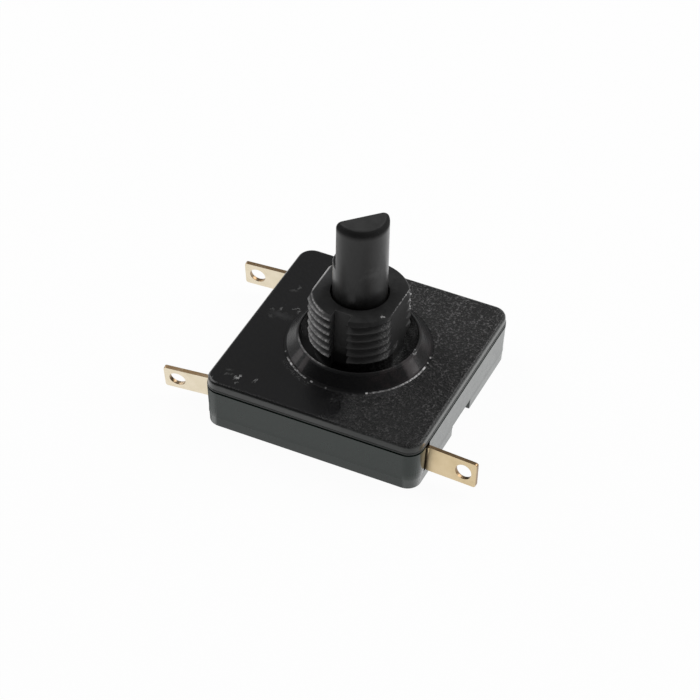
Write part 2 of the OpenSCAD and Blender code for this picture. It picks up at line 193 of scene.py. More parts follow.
def smooth(ob, angle):
    """Smooth shading that keeps flat faces flat; edges over an angle in degrees stay sharp."""
    ob.data.shade_smooth()
    ob.data.set_sharp_from_angle(angle=math.radians(angle))
    m = ob.modifiers.new("normals", "WEIGHTED_NORMAL")
    m.keep_sharp = True
    m.weight = 100
    apply_modifiers(ob)


def copy_node(name, node):
    me = NODES[node].data.copy()
    me.name = name
    me.materials.clear()
    return link_object(name, me)


def dressed(name, node, width):
    """Copy of a CAD piece with its edges rounded by width."""
    ob = copy_node(name, node)
    clean(ob, dissolve=0.5)
    bevel(ob, width)
    smooth(ob, 30)
    return ob


# ---------------------------------------------------------------- outlines

def circle(r, z, angles):
    return [(r * math.cos(a), r * math.sin(a), z) for a in angles]


def even_angles(n):
    return [FULL_TURN * i / n for i in range(n)]


def quarter(steps):
    """Angles from 0 to a right angle."""
    return [math.pi / 2 * i / steps for i in range(steps + 1)]


def rounded_square(half, r, z, corner=12, side=10):
    """Outline from the middle of the right side, counter-clockwise."""
    pts = []
    flat = half - r
    for q in range(4):
        c, s = math.cos(q * math.pi / 2), math.sin(q * math.pi / 2)
        local = [(half, -flat + 2 * flat * i / side) for i in range(side)]
        local += [(flat + r * math.cos(a), flat + r * math.sin(a)) for a in quarter(corner)[:-1]]
        pts += [(x * c - y * s, x * s + y * c, z) for x, y in local]
    return pts


# ---------------------------------------------------------------- cover

def plate_solid():
    """Cover plate with a round hole, square outside."""
    angles = [math.atan2(y, x) for x, y, _ in rounded_square(HALF, CORNER_R, 0)]
    # distance behind the outer face, and height: the lower lip, then the rounded upper edge
    profile = [
        (0.05, BASE_H),
        (0.0, BASE_H + 0.05),
        (0.0, BASE_H + 0.17),
        (0.02, BASE_H + 0.21),
        (0.07, BASE_H + 0.25),
    ]
    for a in quarter(ROUND_STEPS):
        depth = EDGE_IN + EDGE_R - EDGE_R * math.cos(a)
        profile.append((depth, BODY_H - EDGE_R + EDGE_R * math.sin(a)))
    rings = [circle(BORE_R, BASE_H, angles)]
    rings += [rounded_square(HALF - depth, CORNER_R - depth, z) for depth, z in profile]
    rings.append(rounded_square(HALF - 0.8, CORNER_R - 0.6, BODY_H))  # keeps the top flat beside its edge
    rings.append(circle(BORE_R, BODY_H, angles))
    return ring_solid("cover_dressed", rings)


def collar_solid():
    """Ring with a conical outside, a worn rim and a straight inside."""
    top = BODY_H + COLLAR_H
    profile = [
        (COLLAR_R + 0.1, BODY_H - COLLAR_SUNK),
        (COLLAR_R + 0.1, BODY_H - 0.004),
        (COLLAR_R + 0.05, BODY_H + 0.01),
        (COLLAR_R - 0.03, BODY_H + 0.06),
        (COLLAR_R - 0.1, BODY_H + 0.13),
        (COLLAR_RIM_R + 0.09, top - 0.11),
        (COLLAR_RIM_R + 0.03, top - 0.045),
        (COLLAR_RIM_R - 0.03, top - 0.01),
        (MOAT_R + 0.06, top),
        (MOAT_R + 0.015, top - 0.025),
        (MOAT_R, top - 0.08),
        (MOAT_R, BODY_H - COLLAR_SUNK),
    ]
    angles = even_angles(180)
    return ring_solid("collar_tmp", [circle(r, z, angles) for r, z in profile])


def thread_radius(theta, z):
    """Radius of the thread at an angle and a height."""
    turn = (theta - THREAD_START) / FULL_TURN
    phase = ((z - FIRST_CREST) / PITCH - turn + 0.5) % 1.0
    from_crest = abs(phase - 0.5) * 2  # 0 at the crest, 1 at the root
    t = min(max((from_crest - CREST_END) / (ROOT_START - CREST_END), 0.0), 1.0)
    return BUSH_R - THREAD_DEPTH * t


def bush_radius(theta, z):
    """Outside of the bush: thread, chamfer, neck and flats, without the keyway."""
    neck_slope = 3
    r = thread_radius(theta, z)
    r = min(r, BUSH_R - max(0.0, z - (BUSH_TOP - CHAMFER)))
    r = min(r, NECK_R + neck_slope * max(0.0, z - NECK_TOP))
    c = abs(math.cos(theta))
    return FLAT_X / c if r * c > FLAT_X else r


def bush_angles(key_angle):
    """Angles round the bush from one side of the keyway to the other, close together at the flats' edges."""
    flat_edge, near = 28, 8  # degrees from the x axis to the flats' ragged edges, and how far those reach
    close_step, wide_step = math.radians(0.4), math.radians(1.4)
    end = FRONT + FULL_TURN - key_angle
    angles = [FRONT + key_angle]
    while angles[-1] < end - close_step:
        from_axis = math.degrees(math.acos(min(1.0, abs(math.cos(angles[-1])))))
        angles.append(angles[-1] + (close_step if abs(from_axis - flat_edge) < near else wide_step))
    angles[-1] = end
    return angles


def keyway_side(side, z):
    """How far the keyway's side, left (-1) or right (1), reaches out at a height, as a y coordinate."""
    a = FRONT + side * math.asin(KEY_X / BUSH_R)
    for _ in range(4):
        a = FRONT + side * math.asin(KEY_X / bush_radius(a, z))
    r = bush_radius(a, z)
    return -math.sqrt(r * r - KEY_X ** 2)


def mouth_angles(angles, key_angle):
    """Angles round the mouth, one for each point of a bush ring and always rising, so no face folds over."""
    gap, step, floor_points = math.radians(20), math.radians(0.2), KEY_FLOOR_STEPS + 1
    span = angles[-1] - FRONT - key_angle
    result = [FRONT + gap + (FULL_TURN - 2 * gap) * (a - FRONT - key_angle) / span for a in angles]
    result += [result[-1] + step * i for i in range(1, KEY_SIDE_STEPS + 1)]
    wall = result[-1]
    floor_span = 2 * (FRONT + FULL_TURN - wall)
    result += [wall + floor_span * (i + 0.5) / floor_points for i in range(floor_points)]
    result += [FRONT + FULL_TURN + gap - step * i for i in range(KEY_SIDE_STEPS, 0, -1)]
    return result


def bush_solid():
    """Bush whose rings climb with the thread, so that the crests run along the mesh."""
    per_pitch = 16
    key_angle = math.asin(KEY_X / NECK_R)
    angles = bush_angles(key_angle)
    z0 = BODY_H - SUNK

    def ring(k):
        pts = []
        for a in angles:
            z = z0 + PITCH * (k / per_pitch + (a - FRONT) / FULL_TURN - 1)
            z = min(max(z, z0), BUSH_TOP)
            r = bush_radius(a, z)
            pts.append((r * math.cos(a), r * math.sin(a), z))
        z_right, z_left = pts[0][2], pts[-1][2]
        y_left, y_right = keyway_side(-1, z_left), keyway_side(1, z_right)
        for i in range(KEY_SIDE_STEPS):
            pts.append((-KEY_X, y_left + (-KEY_Y - y_left) * i / KEY_SIDE_STEPS, z_left))
        for i in range(KEY_FLOOR_STEPS + 1):
            t = i / KEY_FLOOR_STEPS
            pts.append((-KEY_X + 2 * KEY_X * t, -KEY_Y, z_left + (z_right - z_left) * t))
        for i in range(1, KEY_SIDE_STEPS + 1):
            pts.append((KEY_X, -KEY_Y + (y_right + KEY_Y) * i / KEY_SIDE_STEPS, z_right))
        return pts

    rows = int((BUSH_TOP - z0) / PITCH * per_pitch) + 2 * per_pitch + 2
    rings = [ring(k) for k in range(rows)]
    mouth = [
        (MOUTH_R + 0.12, BUSH_TOP),
        (MOUTH_R + 0.04, BUSH_TOP - 0.04),
        (MOUTH_R, BUSH_TOP - 0.13),
        (MOUTH_R, BUSH_TOP - MOUTH_H),
        (BORE_R, BUSH_TOP - MOUTH_H),
        (BORE_R, z0),
    ]
    around = mouth_angles(angles, key_angle)
    rings += [circle(r, z, around) for r, z in mouth]
    return ring_solid("bush_tmp", rings)


def build_cover():
    cover = plate_solid()
    clean(cover)
    for part in (collar_solid(), bush_solid()):
        clean(part)
        boolean(cover, part, "UNION")
    clean(cover)
    smooth(cover, 28)
    return cover


# ---------------------------------------------------------------- shaft and rotor

def turned(pts, z):
    """Points whose flat side looks along -x, turned to look along FLAT_DIR."""
    turn = FLAT_DIR + math.pi
    c, s = math.cos(turn), math.sin(turn)
    return [(x * c - y * s, x * s + y * c, z) for x, y in pts]


def half_round_outline(inset, flat_inset, z):
    """Half-round outline with rounded corners."""
    r = SHAFT_R - inset
    corner = FLAT_CORNER_R
    cx = flat_inset + corner
    cy = math.sqrt((r - corner) ** 2 - cx ** 2)
    a_end = math.atan2(cy, cx)
    pts = []
    for i in range(N_ARC):
        a = -a_end + 2 * a_end * i / (N_ARC - 1)
        pts.append((r * math.cos(a), r * math.sin(a)))
    for i in range(1, N_CORNER + 1):
        a = a_end + (math.pi - a_end) * i / N_CORNER
        pts.append((cx + corner * math.cos(a), cy + corner * math.sin(a)))
    for i in range(1, N_FLAT + 1):
        pts.append((flat_inset, cy - 2 * cy * i / (N_FLAT + 1)))
    for i in range(N_CORNER):
        a = math.pi + (math.pi - a_end) * i / N_CORNER
        pts.append((cx + corner * math.cos(a), -cy + corner * math.sin(a)))
    return turned(pts, z)


def round_outline(inset, z):
    """Full circle with the half-round outline's points; only its flat side is drawn in by inset."""
    a_end = math.pi / 2 - math.asin(FLAT_CORNER_R / (SHAFT_R - FLAT_CORNER_R))
    back = N_CORNER * 2 + N_FLAT
    onset = 6  # per radian, from none to the whole inset
    pts = []
    for i in range(N_ARC):
        a = -a_end + 2 * a_end * i / (N_ARC - 1)
        pts.append((SHAFT_R * math.cos(a), SHAFT_R * math.sin(a)))
    for i in range(1, back + 1):
        a = a_end + (FULL_TURN - 2 * a_end) * i / (back + 1)
        r = SHAFT_R - inset * min(1.0, (a - a_end) * onset, (FULL_TURN - a_end - a) * onset)
        pts.append((r * math.cos(a), r * math.sin(a)))
    return turned(pts, z)


def shaft_solid(z0):
    z_flat = SHAFT_TOP - FLAT_LEN
    rings = [round_outline(0, z) for z in (z0, z0 + 0.9, z0 + 1.2)]
    for a in quarter(ROUND_STEPS):
        inset = SHOULDER_R * (1 - math.cos(a))
        rings.append(round_outline(inset, z_flat - SHOULDER_R + SHOULDER_R * math.sin(a)))
    rings.append(half_round_outline(0, 0, z_flat))
    for a in quarter(ROUND_STEPS):
        inset = SHAFT_ROUND * (1 - math.cos(a))
        z = SHAFT_TOP - SHAFT_ROUND + SHAFT_ROUND * math.sin(a)
        above = max(0.0, z - SHAFT_TOP + FLAT_EDGE_R)
        flat_inset = FLAT_EDGE_R - math.sqrt(FLAT_EDGE_R ** 2 - above ** 2)
        rings.append(half_round_outline(inset, flat_inset, z))
    return capped_solid("shaft_tmp", rings)


def build_rotor():
    cutter_r, overlap = 5.0, 0.5
    rotor = copy_node("rotor_and_shaft", "rotor")
    clean(rotor)
    heights = (SHAFT_CUT_Z, SHAFT_TOP + 5)
    cutter = capped_solid("cut_tmp", [circle(cutter_r, z, even_angles(64)) for z in heights])
    clean(cutter)
    boolean(rotor, cutter, "DIFFERENCE")
    shaft = shaft_solid(SHAFT_CUT_Z - overlap)
    clean(shaft)
    boolean(rotor, shaft, "UNION")
    clean(rotor)
    smooth(rotor, 30)
    return rotor


# ---------------------------------------------------------------- node helpers

def rgb(r, g, b):
    return (r, g, b, 1.0)


def grey(v):
    return rgb(v, v, v)


class Nodes:
    """Short names for the nodes of one node tree."""

    def __init__(self, tree):
        self.nt = tree

    def node(self, kind, **props):
        n = self.nt.nodes.new(kind)
        for k, v in props.items():
            setattr(n, k, v)
        return n

    def put(self, socket, value):
        """Give a socket a constant, or link it to another socket."""
        if isinstance(value, (int, float, tuple)):
            socket.default_value = value
        else:
            self.nt.links.new(value, socket)

    def math(self, op, a, b=0.0):
        n = self.node("ShaderNodeMath", operation=op)
        self.put(n.inputs[0], a)
        self.put(n.inputs[1], b)
        return n.outputs[0]

    def vec(self, op, a, b=(0, 0, 0)):
        n = self.node("ShaderNodeVectorMath", operation=op)
        self.put(n.inputs[0], a)
        self.put(n.inputs[1], b)
        return n.outputs["Value"] if op in ("LENGTH", "DOT_PRODUCT") else n.outputs[0]

    def split(self, vector):
        n = self.node("ShaderNodeSeparateXYZ")
        self.put(n.inputs[0], vector)
        return n.outputs

    def plus(self, a, b):
        return self.math("ADD", a, b)

    def times(self, *values):
        out = values[0]
        for v in values[1:]:
            out = self.math("MULTIPLY", out, v)
        return out

    def most(self, *values):
        out = values[0]
        for v in values[1:]:
            out = self.math("MAXIMUM", out, v)
        return out


class Graph(Nodes):
    """One Principled material, with the place on the part in millimetres."""

    def __init__(self, name):
        self.mat = bpy.data.materials.new(name)
        self.mat.use_nodes = True
        super().__init__(self.mat.node_tree)
        self.nt.nodes.clear()
        self.bsdf = self.node("ShaderNodeBsdfPrincipled")
        self.put(self.node("ShaderNodeOutputMaterial").inputs[0], self.bsdf.outputs[0])
        coord = self.node("ShaderNodeTexCoord")
        scale = self.node("ShaderNodeVectorMath", operation="SCALE")
        self.put(scale.inputs[0], coord.outputs["Object"])
        scale.inputs["Scale"].default_value = 1 / MM
        self.place = scale.outputs[0]
        self.facing = coord.outputs["Normal"]
        self.x, self.y, self.z = self.split(self.place)
        self.r = self.vec("LENGTH", self.vec("MULTIPLY", self.place, (1, 1, 0)))
        self.angle = self.math("DEGREES", self.math("ARCTAN2", self.y, self.x))
        self.ragged_place = None

    def noise_node(self, scale, detail, rough=0.5, vector=None, distortion=0.0):
        n = self.node("ShaderNodeTexNoise")
        self.put(n.inputs["Vector"], vector or self.place)
        n.inputs["Scale"].default_value = scale
        n.inputs["Detail"].default_value = detail
        n.inputs["Roughness"].default_value = rough
        n.inputs["Distortion"].default_value = distortion
        return n

    def noise(self, *args, **kwargs):
        return self.noise_node(*args, **kwargs).outputs["Fac"]

    def ramp(self, value, lo, hi, out_lo=0.0, out_hi=1.0):
        n = self.node("ShaderNodeMapRange", clamp=True)
        self.put(n.inputs["Value"], value)
        n.inputs["From Min"].default_value = lo
        n.inputs["From Max"].default_value = hi
        n.inputs["To Min"].default_value = out_lo
        n.inputs["To Max"].default_value = out_hi
        return n.outputs[0]

    def span(self, mask, at_none, at_full):
        """Stretch a mask of 0 to 1 to other values."""
        return self.ramp(mask, 0.0, 1.0, at_none, at_full)

    def invert(self, mask):
        return self.span(mask, 1.0, 0.0)

    def window(self, value, lo, hi, soft):
        """1 between lo and hi, falling to 0 over soft on both sides."""
        return self.times(self.ramp(value, lo - soft, lo), self.ramp(value, hi, hi + soft, 1.0, 0.0))

    def mix(self, fac, a, b):
        n = self.node("ShaderNodeMix", data_type="RGBA")
        self.put(n.inputs["Factor"], fac)
        self.put(n.inputs[6], a)
        self.put(n.inputs[7], b)
        return n.outputs[2]

    def stretch(self, x, y, z):
        return self.vec("MULTIPLY", self.place, (x, y, z))

    def bump(self, height, strength, distance_mm):
        n = self.node("ShaderNodeBump")
        self.put(n.inputs["Height"], height)
        self.put(n.inputs["Strength"], strength)
        n.inputs["Distance"].default_value = distance_mm * MM
        return n.outputs[0]

    def ragged(self):
        """The place, shifted a little by noise, so that marks have uneven outlines."""
        if self.ragged_place is None:
            color = self.noise_node(2.2, 3.0).outputs["Color"]
            centred = self.vec("SUBTRACT", color, (0.5, 0.5, 0.5))
            shift = self.vec("MULTIPLY", centred, (1.1, 1.1, 0.0))
            self.ragged_place = self.vec("ADD", self.place, shift)
        return self.ragged_place

    def spot(self, cx, cy, rx, ry, turn=0.0, edge=0.5):
        """Soft ragged ellipse on the x-y plane."""
        x, y, _ = self.split(self.ragged())
        c, s = math.cos(math.radians(turn)), math.sin(math.radians(turn))
        dx, dy = self.math("SUBTRACT", x, cx), self.math("SUBTRACT", y, cy)
        u = self.plus(self.times(dx, c / rx), self.times(dy, s / rx))
        v = self.plus(self.times(dx, -s / ry), self.times(dy, c / ry))
        return self.ramp(self.hypot(u, v), edge, 1.0, 1.0, 0.0)

    def hypot(self, u, v):
        return self.math("SQRT", self.plus(self.times(u, u), self.times(v, v)))

    def paint(self, color, layers):
        """Lay colours over each other; each layer is a mask and a colour."""
        for mask, layer in layers:
            color = self.mix(mask, color, layer)
        return color

    def roughen(self, rough, layers):
        """Add roughness; each layer is a mask and how much it adds."""
        for mask, extra in layers:
            rough = self.plus(rough, self.times(mask, extra))
        return rough

    def plastic(self, color, rough, normal, ior, coat, coat_rough):
        """Black plastic with two weak gloss layers, which shine more at a low angle than from above."""
        i = self.bsdf.inputs
        self.surface(color, rough, normal)
        i["IOR"].default_value = ior
        self.put(i["Coat Weight"], coat)
        i["Coat Roughness"].default_value = coat_rough
        i["Coat IOR"].default_value = 1.3
        return self.mat

    def surface(self, color, rough, normal, metallic=0.0):
        i = self.bsdf.inputs
        self.put(i["Base Color"], color)
        self.put(i["Roughness"], rough)
        self.put(i["Normal"], normal)
        i["Metallic"].default_value = metallic
        return self.mat


# ---------------------------------------------------------------- cover's material

SCUFFS = [  # x, y, two radii in mm, turn in degrees, strength
    (-9.9, -11.2, 0.13, 0.55, -12, 1.3),
    (-10.2, -11.45, 0.11, 0.45, -12, 1.0),
    (-9.65, -12.3, 0.1, 0.35, -12, 0.35),
    (-10.9, -11.15, 0.4, 0.2, 30, 0.16),
    (-11.35, -11.35, 0.2, 0.4, -10, 0.16),
    (-11.45, -10.6, 0.5, 0.2, 20, 0.12),
    (-7.95, -10.9, 0.14, 0.5, -5, 0.6),
    (-7.65, -10.8, 0.12, 0.5, -5, 0.5),
    (-12.7, -12.6, 0.35, 0.2, 20, 0.5),
    (-9.15, 2.55, 0.36, 0.14, 30, 0.7),
    (-9.45, 2.15, 0.3, 0.14, 20, 0.35),
    (-8.75, 2.0, 0.16, 0.34, 10, 0.3),
    (-10.8, 1.55, 0.2, 0.45, -10, 0.3),
    (-11.75, 1.15, 0.4, 0.16, 0, 0.2),
    (-11.3, -0.05, 0.6, 0.2, -20, 0.1),
    (-10.6, 6.0, 0.2, 0.5, 10, 0.16),
    (-10.9, 5.3, 0.6, 0.3, 20, 0.1),
]
FOOT_NICKS = [  # direction and half width in degrees, strength
    (-145, 0.4, 0.3),
    (-130, 1.2, 1.0),
    (-104, 0.8, 0.5),
    (-91, 0.4, 0.2),
    (-59, 0.6, 0.8),
    (-4, 1.6, 1.0),
    (3, 0.4, 0.5),
    (9.5, 0.6, 0.6),
]


class CoverGraph(Graph):
    """The cover's zones and noises, which several of its layers share."""

    def __init__(self, name):
        super().__init__(name)
        self.grain = self.noise(4.0, 2.0, 0.6, distortion=0.15)
        self.haze = self.noise(0.9, 4.0, 0.65)
        self.nick = self.ramp(self.noise(3.2, 3.0, 0.7), 0.44, 0.60)
        self.speck = self.ramp(self.noise(5.5, 2.0, 0.6), 0.50, 0.62)
        self.above_side = self.ramp(self.z, BODY_H - 0.35, BODY_H - 0.1)
        self.bush = self.times(self.ramp(self.r, 6.3, 6.8, 1.0, 0.0), self.ramp(self.z, 6.8, 7.2))
        self.bush_top = self.ramp(self.z, BUSH_TOP - 0.05, BUSH_TOP - 0.01)
        self.cone = self.times(self.window(self.r, 7.0, 8.5, 0.05), self.ramp(self.z, 6.65, 6.8))
        self.moat = self.times(
            self.ramp(self.r, MOAT_R - 0.02, MOAT_R + 0.02, 1.0, 0.0),
            self.ramp(self.z, 8.2, 8.6, 1.0, 0.0),
        )
        self.coarse = self.coarse_zone()

    def coarse_zone(self):
        """Where the plate's moulded grain is strong: its right half, beyond an uneven border."""
        uneven = self.times(self.math("SUBTRACT", self.noise(0.5, 3.0, 0.6), 0.5), 5.0)
        across = self.plus(self.plus(self.x, uneven), self.times(self.y, 0.2))
        return self.times(self.ramp(across, -1.5, 3.5), self.ramp(self.r, 8.5, 8.8))

    def near_top(self, below, above=-0.1, soft=0.05):
        """Band at the bush's upper edge, from one depth below its top to another."""
        return self.window(self.z, BUSH_TOP - below, BUSH_TOP - above, soft)


def plate_color(g):
    """Black plastic; where the grain is strong its pale specks are painted glints, and the side faces are
    paler, a painted sheen.
    """
    patchy = g.ramp(g.noise(0.45, 3.0, 0.6), 0.38, 0.62, 0.45, 1.0)
    # Painted glints: pale specks on the strong grain, denser towards the back.
    glint_flecks = g.times(g.ramp(g.grain, 0.53, 0.66), patchy, g.ramp(g.y, -12.0, 4.0, 0.4, 1.0))
    glinting = g.mix(glint_flecks, grey(0.003), rgb(0.150, 0.146, 0.146))
    plain = g.mix(g.ramp(g.grain, 0.45, 0.62), rgb(0.0025, 0.0025, 0.0030), rgb(0.0055, 0.0055, 0.0060))
    # Painted sheen: the side faces below the top edge are painted paler than the top.
    return g.mix(g.above_side, rgb(0.050, 0.053, 0.051), g.mix(g.coarse, plain, glinting))


def bush_layers(g):
    """Chalky haze on the bush, painted fill light on its front threads, what lies in its keyway, a paler band
    on the top's left, and painted light on the clear ring's floor.
    """
    # Painted fill light: the front threads are painted paler below the top.
    front_thread_fill_light = g.times(g.bush, g.window(g.angle, -78, -36, 4), g.ramp(g.z, 14.3, 14.0))
    lit_right_specks = g.times(g.ramp(g.x, 0.0, 4.0), g.ramp(g.grain, 0.5, 0.6))
    keyway = g.times(g.window(g.x, -KEY_X, KEY_X, 0.05), g.window(g.y, -6.3, -4.3, 0.05), g.bush)
    # Paler band on the bush top, left of x = -3.4, patchy.
    pale_top_left = g.times(g.bush_top, g.ramp(g.x, -3.4, -4.6), g.ramp(g.haze, 0.25, 0.6, 0.4, 1.0))
    return [
        (g.times(g.bush, g.ramp(g.haze, 0.3, 0.7, 0.5, 1.0)), grey(0.025)),
        (front_thread_fill_light, grey(0.055)),
        # Painted light on the clear ring's floor, stronger on the right and broken into specks.
        (g.moat, g.mix(lit_right_specks, grey(0.008), grey(0.050))),
        (keyway, grey(0.060)),
        (pale_top_left, rgb(0.045, 0.045, 0.046)),
    ]


def foot_highlight_and_nicks(g):
    """Pale line and nicks where the collar meets the plate; the line is a painted highlight along the foot.
    """
    foot = g.times(g.window(g.r, 8.50, 8.62, 0.05), g.window(g.z, BODY_H - 0.05, BODY_H + 0.16, 0.05))
    # Painted highlight along the foot on the right, broken up, and in specks on the left.
    right = g.times(
        g.window(g.angle, -54, -6, 6),
        g.ramp(g.angle, -55, -15, 0.4, 1.0),
        g.span(g.nick, 0.25, 1.0),
    )
    left = g.times(g.window(g.angle, -137, -111, 2), g.span(g.speck, 0.12, 0.8))
    nicks = [g.times(g.window(g.angle, a - w, a + w, 0.5), strength) for a, w, strength in FOOT_NICKS]
    return g.times(foot, g.most(right, left, *nicks))


def edge_wear(g):
    """Rubbed upper edges of the bush, at its flats and at its round sides."""
    edge = g.near_top(0.10)
    left = g.times(g.ramp(g.x, -4.90, -4.97), edge, g.span(g.nick, 0.45, 1.0))
    left_top = g.times(g.ramp(g.x, -4.78, -4.90), g.bush_top, 0.6)
    right = g.times(g.ramp(g.x, 4.88, 4.97), edge, g.ramp(g.y, -3.0, 2.0, 0.15, 0.8), g.nick)
    arc_left = g.times(
        g.near_top(0.14),
        g.ramp(g.r, 5.45, 5.55),
        g.window(g.angle, -148, -118, 8),
        g.span(g.nick, 0.15, 0.7),
    )
    arc_right = g.times(
        g.near_top(0.46, 0.34),
        g.ramp(g.r, 5.8, 5.9),
        g.window(g.angle, 20, 70, 6),
        g.span(g.nick, 0.3, 0.9),
    )
    return g.most(left, left_top, right, arc_left, arc_right)


def thread_highlights_and_chips(g):
    """Pale crest tops at the left, a painted highlight, and chipped thread ends at the right flat."""
    low, middle, high = 8.4, 11.0, 14.3  # heights on the thread
    whole_thread = g.window(g.z, low, high, 0.2)
    # Painted highlight: the crest tops on the left side are painted pale.
    crest_highlights = g.times(
        whole_thread,
        g.ramp(g.r, 5.72, 5.98),
        g.window(g.angle, -146, -104, 8),
        g.span(g.nick, 0.35, 1.0),
        0.6,
    )
    front_ends = g.times(whole_thread, g.window(g.angle, -40, -30, 4), g.ramp(g.r, 5.4, 5.6), g.speck, 0.15)
    back_ends = g.times(
        g.window(g.z, middle, high, 0.2),
        g.window(g.angle, 30, 44, 4),
        g.ramp(g.r, 5.5, 5.7),
        g.speck,
        0.7,
    )
    return g.most(crest_highlights, front_ends, back_ends)


def nick_and_rim_highlight(g):
    """A bright nick on the bush's edge, and a painted highlight on the collar's rim and low on the right
    flat.
    """
    bright = g.times(g.spot(4.2, -3.0, 0.22, 0.16, 20), g.window(g.z, 14.0, 14.6, 0.1))
    # Painted highlight on the rim at the right and low on the right flat, broken into specks.
    rim = g.times(g.spot(6.95, -0.1, 0.45, 0.75), g.window(g.z, 8.0, 8.5, 0.1), g.speck, 0.5)
    flat = g.times(
        g.window(g.y, -1.4, -0.3, 0.3),
        g.window(g.z, 8.6, 9.2, 0.2),
        g.ramp(g.x, 4.8, 4.95),
        g.speck,
        0.3,
    )
    return g.most(bright, rim, flat)


def plate_marks(g):
    """Scuffs and smears on the top of the plate."""
    top = g.times(
        g.ramp(g.z, BODY_H - 0.03, BODY_H - 0.01),
        g.ramp(g.z, BODY_H + 0.02, BODY_H + 0.05, 1.0, 0.0),
    )
    edge = 0.15
    scuffs = [g.times(g.spot(*shape, edge), strength) for *shape, strength in SCUFFS]
    specks = g.times(g.window(g.r, 8.9, 9.2, 0.3), g.window(g.angle, -132, -106, 6), g.speck, 0.15)
    smear_left = g.times(g.spot(-10.2, 0.6, 2.0, 0.7, -4, 0.1), g.ramp(g.haze, 0.3, 0.6, 0.6, 1.0))
    smear_front = g.times(g.window(g.r, 8.7, 9.2, 0.3), g.window(g.angle, -50, -38, 6), 0.7)
    return g.times(g.most(*scuffs, specks), top), g.times(g.most(smear_left, smear_front), top)


def cover_material():
    g = CoverGraph("cover_plastic")
    # Worn edges and nicks, together with the painted highlights at the collar's foot, the left crest tops,
    # the rim and the right flat.
    wear_and_highlights = g.most(foot_highlight_and_nicks(g), edge_wear(g), thread_highlights_and_chips(g), nick_and_rim_highlight(g))
    scuff, smear = plate_marks(g)
    # Painted reflections: pale bands on the collar's cone, which also keep their gloss.
    reflection_bands = [g.window(g.angle, *limits) for limits in ((-133, -127, 1.5), (-121, -117, 1.5), (-20, -10, 3))]
    reflection_stripe = g.times(g.most(*reflection_bands), g.ramp(g.haze, 0.25, 0.6, 0.4, 1.0))
    # Painted sheen: a pinkish tint on the cone's front and right.
    rosy_sheen = g.times(g.cone, g.window(g.angle, -50, 30, 10), g.ramp(g.noise(0.8, 3.0, 0.6), 0.42, 0.62))
    # Painted shade: the plate's lower lip at the joint is painted nearly black, dull and rough, for the shade
    # in the gap.
    seam_shade = g.ramp(g.z, BASE_H + 0.12, BASE_H + 0.06)
    rim = g.times(g.window(g.r, 6.8, 7.25, 0.05), g.ramp(g.z, 8.0, 8.2))
    foot = g.times(g.window(g.r, 8.35, 8.70, 0.05), g.window(g.z, BODY_H - 0.05, BODY_H + 0.25, 0.05))

    color = g.paint(plate_color(g), bush_layers(g) + [
        # Painted sheen on the cone.
        (g.times(rosy_sheen, 0.35), rgb(0.034, 0.022, 0.023)),
        # Painted reflections on the cone.
        (g.times(g.cone, reflection_stripe, 0.6), rgb(0.070, 0.058, 0.060)),
        (g.times(smear, 0.8), rgb(0.030, 0.030, 0.031)),
        (scuff, grey(0.36)),
        (wear_and_highlights, rgb(0.75, 0.74, 0.74)),
        (seam_shade, grey(0.001)),
    ])
    rough = g.plus(g.times(g.above_side, g.span(g.coarse, 0.0, 0.1)), g.span(g.bush, 0.25, 0.48))
    rough = g.roughen(rough, [
        (g.most(wear_and_highlights, scuff, g.times(smear, 0.5)), 0.25),
        (rim, 0.35),
        (seam_shade, 0.6),
        (foot, 0.5),
    ])
    height = g.plus(g.grain, g.times(g.noise(9.0, 2.0, 0.5), 0.25))
    normal = g.bump(height, g.times(g.above_side, g.span(g.coarse, 0.08, 1.0)), 0.3)
    dull_cone = g.times(g.cone, g.span(reflection_stripe, 0.7, 0.0))
    dull = g.most(g.bush, rim, wear_and_highlights, seam_shade, foot, dull_cone, g.times(g.coarse, 0.5), g.moat)
    return g.plastic(color, rough, normal, ior=1.35, coat=g.invert(dull), coat_rough=0.25)


# ---------------------------------------------------------------- other materials

def base_material():
    g = Graph("base_plastic")
    normal = g.bump(g.noise(5.0, 3.0, 0.6), 0.3, 0.02)
    rubbed = g.times(g.ramp(g.z, 0.5, 0.15), g.ramp(g.noise(1.6, 4.0, 0.7), 0.5, 0.65))
    front_left = g.times(g.ramp(g.x, -11.9, -12.9), g.ramp(g.y, -11.4, -12.4))
    color = g.mix(g.noise(0.6, 4.0, 0.6), rgb(0.002, 0.012, 0.008), rgb(0.005, 0.018, 0.013))
    color = g.mix(g.times(rubbed, 0.4), color, rgb(0.05, 0.055, 0.053))
    rough = g.ramp(g.noise(1.0, 3.0, 0.6), 0.3, 0.7, 0.26, 0.34)
    rough = g.roughen(rough, [(front_left, 0.35)])
    return g.plastic(color, rough, normal, ior=1.3, coat=g.invert(front_left), coat_rough=0.15)


